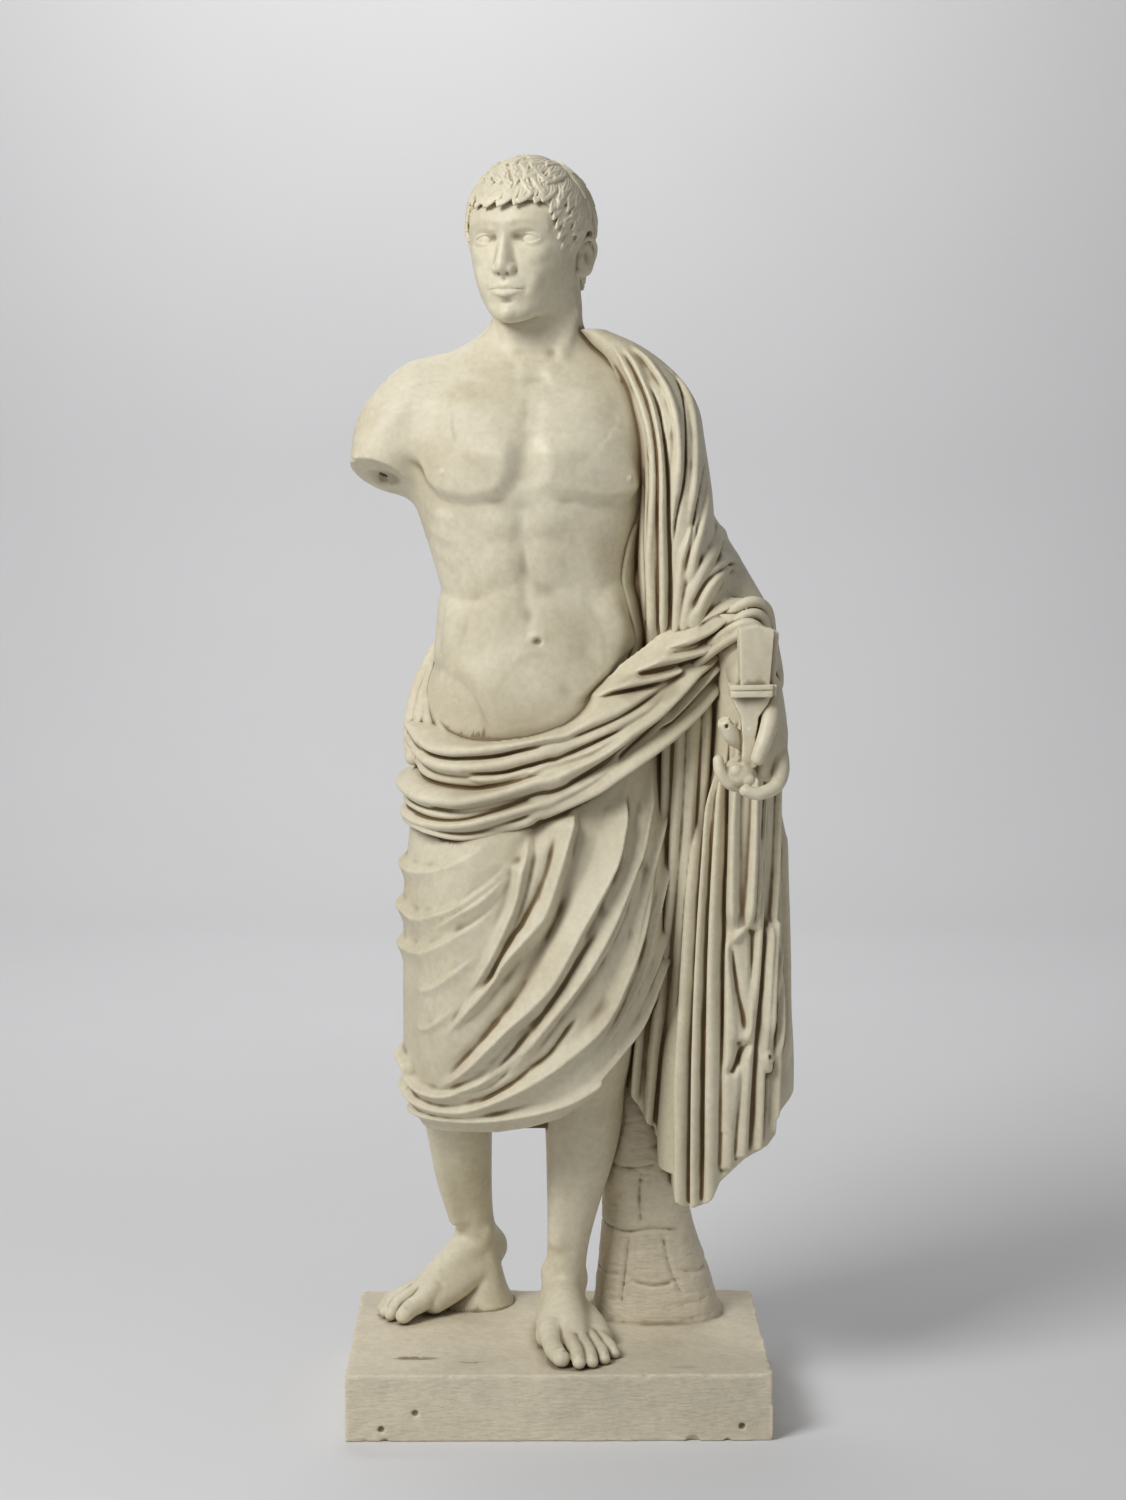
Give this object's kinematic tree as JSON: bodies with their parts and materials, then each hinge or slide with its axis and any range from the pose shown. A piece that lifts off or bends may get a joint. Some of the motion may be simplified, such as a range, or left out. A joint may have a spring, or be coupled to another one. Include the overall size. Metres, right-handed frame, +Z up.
{
  "type": "classical marble statue",
  "caption": "Standing marble figure with cloth round the hips and over one shoulder, carved in one piece with its trunk support and plinth.",
  "frame": {"origin": "middle of the plinth's underside, which is the resting face", "axes": "+Z up along the height; the front of the plinth and of the figure faces -Y; +X is the figure's left-hand side"},
  "size_m": [0.7293, 0.5387, 2.035],
  "materials": {
    "marble": "old carved white marble, softly polished on the skin, warm ivory with brown patina in the folds, roughness 0.5"
  },
  "bodies": {
    "root": {"statue": "marble"}
  },
  "joints": []
}
